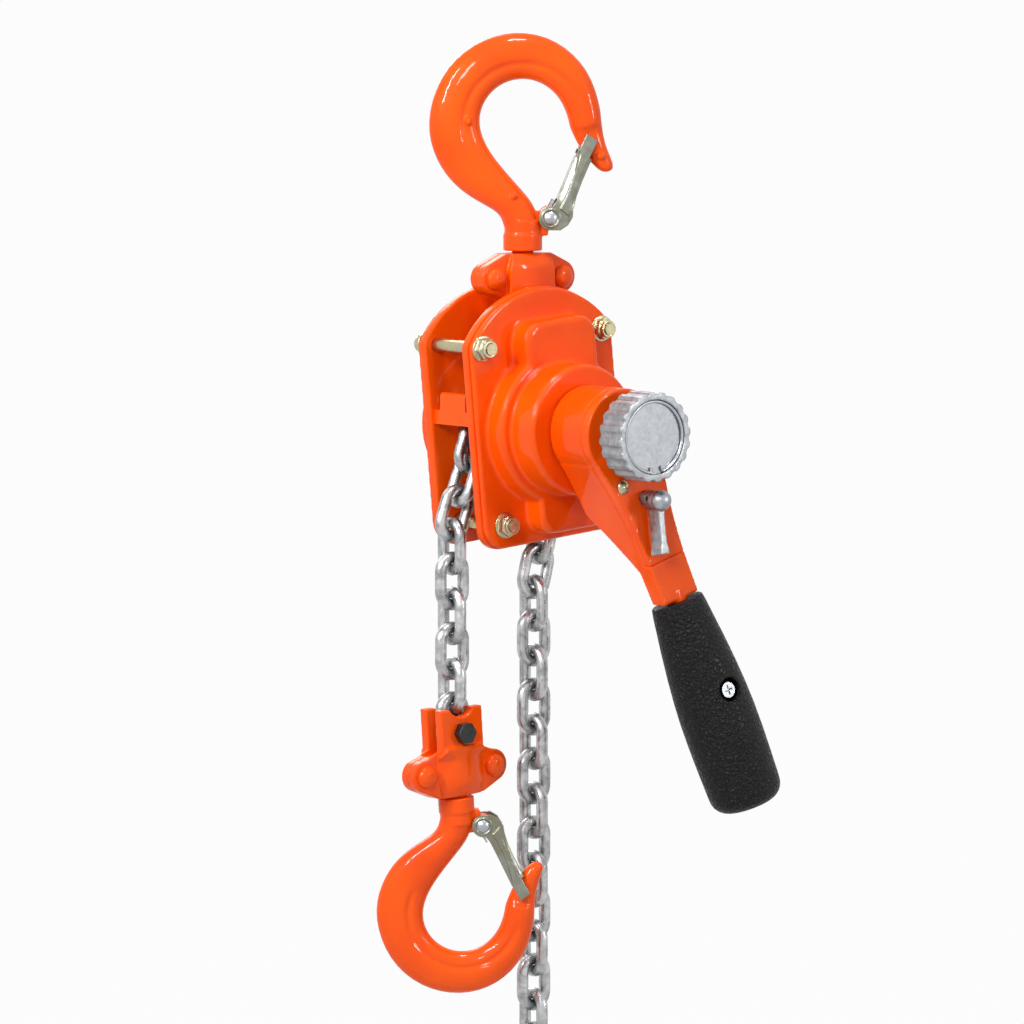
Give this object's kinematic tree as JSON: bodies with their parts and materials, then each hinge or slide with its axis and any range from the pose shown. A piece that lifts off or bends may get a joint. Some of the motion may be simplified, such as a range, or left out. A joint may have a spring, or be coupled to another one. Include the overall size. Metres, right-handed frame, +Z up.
{
  "type": "lever chain hoist",
  "caption": "Hand lever chain hoist with top and load hooks, load chain, end ring, cast hand wheel and rubber-gripped lever.",
  "frame": {"origin": "seat inside the top hook, where the hoist hangs", "axes": "+Z up along the hanging chain, +Y from the lever side to the gear side along the drive axis at rest, +X to the slack chain side"},
  "size_m": [0.1299, 0.1436, 0.8564],
  "materials": {
    "orange_paint": "gloss powder coat",
    "zinc_yellow": "yellow passivated zinc plate",
    "bright_zinc": "bright zinc plate",
    "chain_steel": "galvanised",
    "cast_silver": "as cast, zinc plated",
    "gear_steel": "machined and greased",
    "bronze": "machined bearing bronze",
    "friction": "pressed friction lining",
    "black_bolt": "black oxide",
    "grip_rubber": "pebbled"
  },
  "bodies": {
    "top_hook": {"top_hook": "orange_paint", "top_latch_pin": "bright_zinc"},
    "top_latch": {"top_hook_latch": "zinc_yellow", "top_latch_spring": "bright_zinc"},
    "top_yoke": {"top_yoke_front": "orange_paint", "top_yoke_rear": "orange_paint", "top_yoke_rivets": "orange_paint"},
    "frame": {"suspension_pin": "bright_zinc", "front_side_plate": "orange_paint", "rear_side_plate": "orange_paint", "stay_bolts": "zinc_yellow", "stay_nuts": "zinc_yellow", "chain_stripper": "zinc_yellow", "chain_guide": "zinc_yellow", "brake_cover": "orange_paint", "gear_cover": "orange_paint", "gear_cover_screws": "zinc_yellow", "sheave_bushes": "bronze", "pawl_pins": "gear_steel"},
    "sheave": {"load_sheave": "cast_silver", "wrapped_chain": "chain_steel", "load_gear": "gear_steel"},
    "idler_upper": {"idler_gear_upper": "gear_steel"},
    "idler_lower": {"idler_gear_lower": "gear_steel"},
    "drive": {"drive_shaft": "gear_steel", "brake_hub": "gear_steel", "friction_discs": "friction", "ratchet_disc": "gear_steel", "changeover_gear": "gear_steel", "shaft_nut": "zinc_yellow", "hand_wheel": "cast_silver", "wheel_face_plate": "bright_zinc", "wheel_snap_ring": "bright_zinc"},
    "pawl_upper": {"pawl_upper": "gear_steel"},
    "pawl_lower": {"pawl_lower": "gear_steel"},
    "lever": {"lever_body": "orange_paint", "lever_cover": "orange_paint", "lever_screws": "zinc_yellow", "lever_grip": "grip_rubber", "grip_screw": "bright_zinc"},
    "selector": {"selector_knob": "bright_zinc", "changeover_pawl": "gear_steel"},
    "load_upper": {"load_chain_upper": "chain_steel"},
    "load_lower": {"load_chain_lower": "chain_steel"},
    "bottom_yoke": {"bottom_yoke_front": "orange_paint", "bottom_yoke_rear": "orange_paint", "bottom_yoke_rivets": "orange_paint", "chain_bolt": "black_bolt", "chain_bolt_nut": "zinc_yellow"},
    "bottom_hook": {"bottom_hook": "orange_paint", "bottom_latch_pin": "bright_zinc"},
    "bottom_latch": {"bottom_hook_latch": "zinc_yellow", "bottom_latch_spring": "bright_zinc"},
    "tail_upper": {"tail_chain_upper": "chain_steel"},
    "tail_lower": {"tail_chain_lower": "chain_steel"},
    "end_ring": {"end_ring": "orange_paint", "end_ring_bolt": "black_bolt", "end_ring_nut": "zinc_yellow"}
  },
  "joints": [
    {"name": "top_latch_hinge", "type": "hinge", "parent": "top_hook", "child": "top_latch", "pos_m": [0.00973, -0.00632, -0.06], "axis": [-0.5446, -0.8387, 0], "range_deg": [0, 32], "stiffness_Nm_per_rad": 0.01, "springref_deg": -20.05},
    {"name": "top_swivel", "type": "hinge", "parent": "top_hook", "child": "top_yoke", "pos_m": [0, 0, -0.075], "axis": [0, 0, 1], "continuous": true},
    {"name": "frame_swing", "type": "hinge", "parent": "top_yoke", "child": "frame", "pos_m": [0, 0, -0.1046], "axis": [0, 1, 0], "range_deg": [-12, 12]},
    {"name": "sheave_turn", "type": "hinge", "parent": "frame", "child": "sheave", "pos_m": [-0.00072, 0, -0.14848], "axis": [0, -1, 0], "range_deg": [-4, 30]},
    {"name": "idler_upper_turn", "type": "hinge", "parent": "frame", "child": "idler_upper", "pos_m": [-0.00277, 0, -0.12758], "axis": [0, -1, 0], "range_deg": [-76, 11]},
    {"name": "idler_lower_turn", "type": "hinge", "parent": "frame", "child": "idler_lower", "pos_m": [0.00133, 0, -0.16938], "axis": [0, -1, 0], "range_deg": [-76, 11]},
    {"name": "drive_turn", "type": "hinge", "parent": "frame", "child": "drive", "pos_m": [-0.00072, 0, -0.14848], "axis": [0, -1, 0], "range_deg": [-33, 241]},
    {"name": "pawl_upper_lift", "type": "hinge", "parent": "frame", "child": "pawl_upper", "pos_m": [-0.0013, 0, -0.11186], "axis": [0, 1, 0], "range_deg": [0, 6], "stiffness_Nm_per_rad": 0.01, "springref_deg": -20.05},
    {"name": "pawl_lower_lift", "type": "hinge", "parent": "frame", "child": "pawl_lower", "pos_m": [0.00583, 0, -0.18451], "axis": [0, -1, 0], "range_deg": [0, 6], "stiffness_Nm_per_rad": 0.01, "springref_deg": -20.05},
    {"name": "lever_turn", "type": "hinge", "parent": "frame", "child": "lever", "pos_m": [-0.00072, 0, -0.14848], "axis": [0, -1, 0], "continuous": true},
    {"name": "selector_turn", "type": "hinge", "parent": "lever", "child": "selector", "pos_m": [0.00824, 0, -0.17606], "axis": [0, 1, 0], "range_deg": [-15, 15]},
    {"name": "load_strand_follow", "type": "hinge", "parent": "sheave", "child": "load_upper", "pos_m": [-0.01827, 0, -0.13308], "axis": [0, -1, 0], "range_deg": [-31, 5]},
    {"name": "load_chain_swing", "type": "hinge", "parent": "load_upper", "child": "load_lower", "pos_m": [-0.03807, 0, -0.18898], "axis": [0, 1, 0], "range_deg": [-0.5, 15]},
    {"name": "chain_bolt_swing", "type": "hinge", "parent": "load_lower", "child": "bottom_yoke", "pos_m": [-0.03807, 0, -0.27863], "axis": [0, 1, 0], "range_deg": [-0.5, 12]},
    {"name": "bottom_swivel", "type": "hinge", "parent": "bottom_yoke", "child": "bottom_hook", "pos_m": [-0.03608, 0, -0.30706], "axis": [-0.0698, 0, 0.9976], "range_deg": [-120, 15]},
    {"name": "bottom_latch_hinge", "type": "hinge", "parent": "bottom_hook", "child": "bottom_latch", "pos_m": [-0.02625, -0.00581, -0.31928], "axis": [0.5433, 0.8387, 0.038], "range_deg": [0, 32], "stiffness_Nm_per_rad": 0.01, "springref_deg": -20.05},
    {"name": "slack_strand_follow", "type": "hinge", "parent": "sheave", "child": "tail_upper", "pos_m": [0.02031, 0, -0.15862], "axis": [0, -1, 0], "range_deg": [-31, 5]},
    {"name": "slack_chain_swing", "type": "hinge", "parent": "tail_upper", "child": "tail_lower", "pos_m": [0.00597, 0, -0.21616], "axis": [0, 1, 0], "range_deg": [-6, 0.3]},
    {"name": "end_ring_swing", "type": "hinge", "parent": "tail_lower", "child": "end_ring", "pos_m": [0.00597, 0, -0.80081], "axis": [1, 0, 0], "range_deg": [-25, 25]}
  ],
  "couplings": [
    {"joint": "idler_upper_turn", "follows": "sheave_turn", "ratio": -2.5},
    {"joint": "idler_lower_turn", "follows": "sheave_turn", "ratio": -2.5},
    {"joint": "drive_turn", "follows": "sheave_turn", "ratio": 8},
    {"joint": "load_strand_follow", "follows": "sheave_turn", "ratio": -1},
    {"joint": "slack_strand_follow", "follows": "sheave_turn", "ratio": -1}
  ]
}
